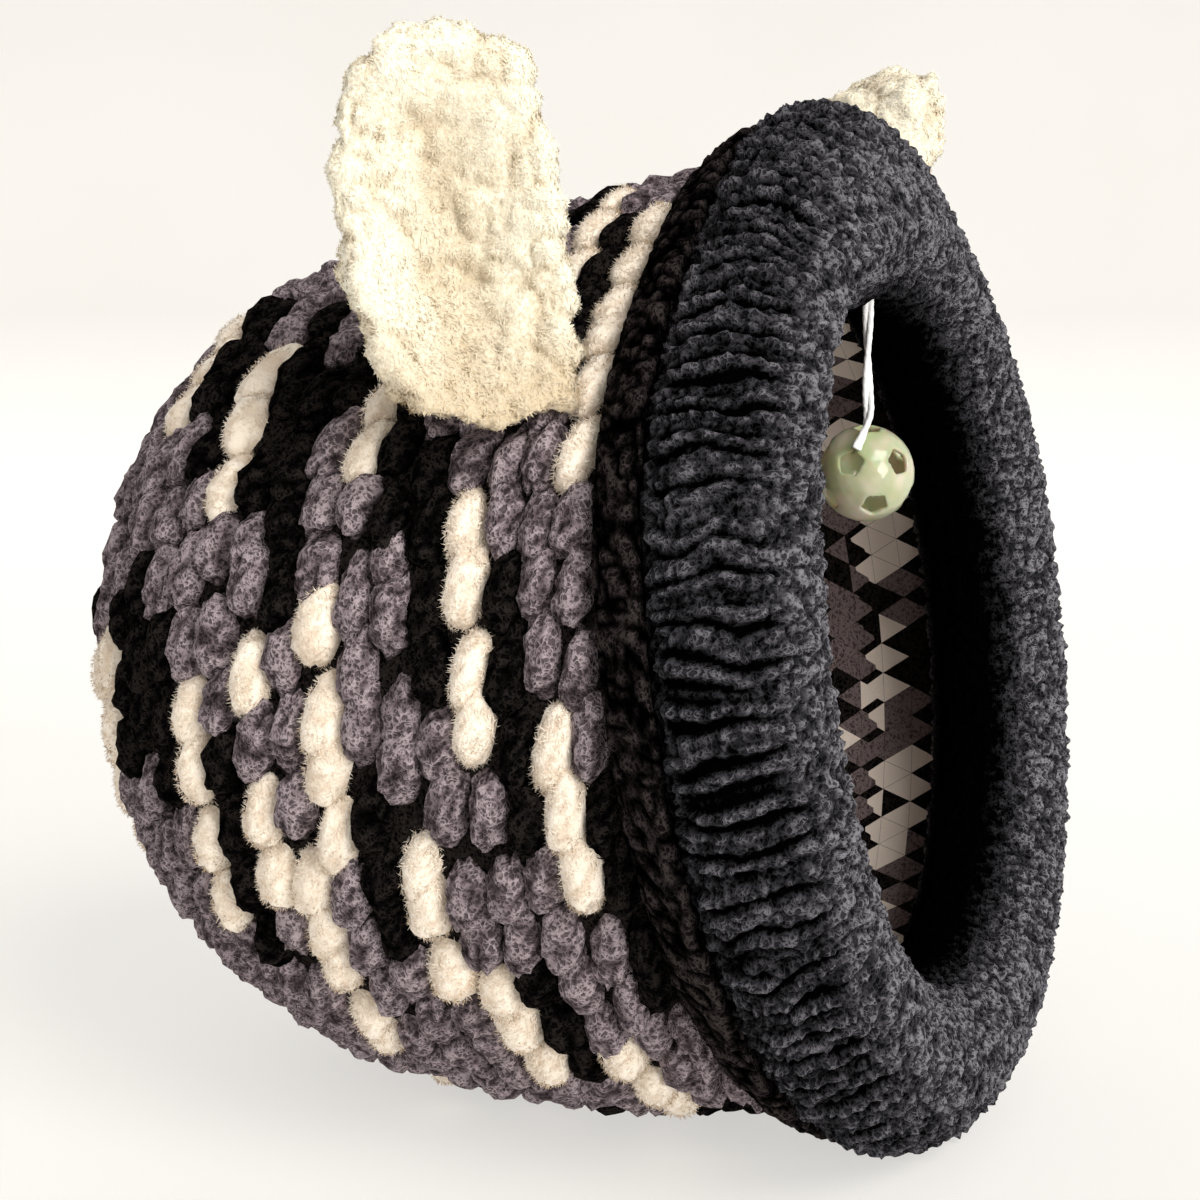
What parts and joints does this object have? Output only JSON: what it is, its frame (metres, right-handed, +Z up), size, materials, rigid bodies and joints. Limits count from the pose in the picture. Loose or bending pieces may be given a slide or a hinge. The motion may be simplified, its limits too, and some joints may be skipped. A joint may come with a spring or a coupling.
{
  "type": "knitted cat cave",
  "caption": "Chunky knitted cat cave lying on its side, with a padded ring round its mouth, plush ears and a ball toy that hangs on a cord in the mouth.",
  "frame": {"origin": "on the floor, under the middle of the cave's box", "axes": "+Z up, the mouth faces -Y, +X to the right of a person inside looking at the back"},
  "size_m": [0.4204, 0.4004, 0.4576],
  "materials": {
    "body_yarn": "thick variegated knit in black, grey and cream",
    "rim_knit": "fine looped knit over padding",
    "ear_plush": "fluffy plush",
    "toy_cord": "soft white yarn, doubled",
    "ball_plastic": "thin translucent plastic with five-sided holes"
  },
  "bodies": {
    "cave": {"rim_ring": "rim_knit", "collar_band": "rim_knit", "body_shell": "body_yarn", "ear_left": "ear_plush", "ear_right": "ear_plush"},
    "toy": {"toy_cord": "toy_cord", "toy_ball": "ball_plastic"}
  },
  "joints": [
    {"name": "toy_swing", "type": "hinge", "parent": "cave", "child": "toy", "pos_m": [0, -0.13402, 0.349], "axis": [1, 0, 0], "range_deg": [-45, 45]}
  ]
}
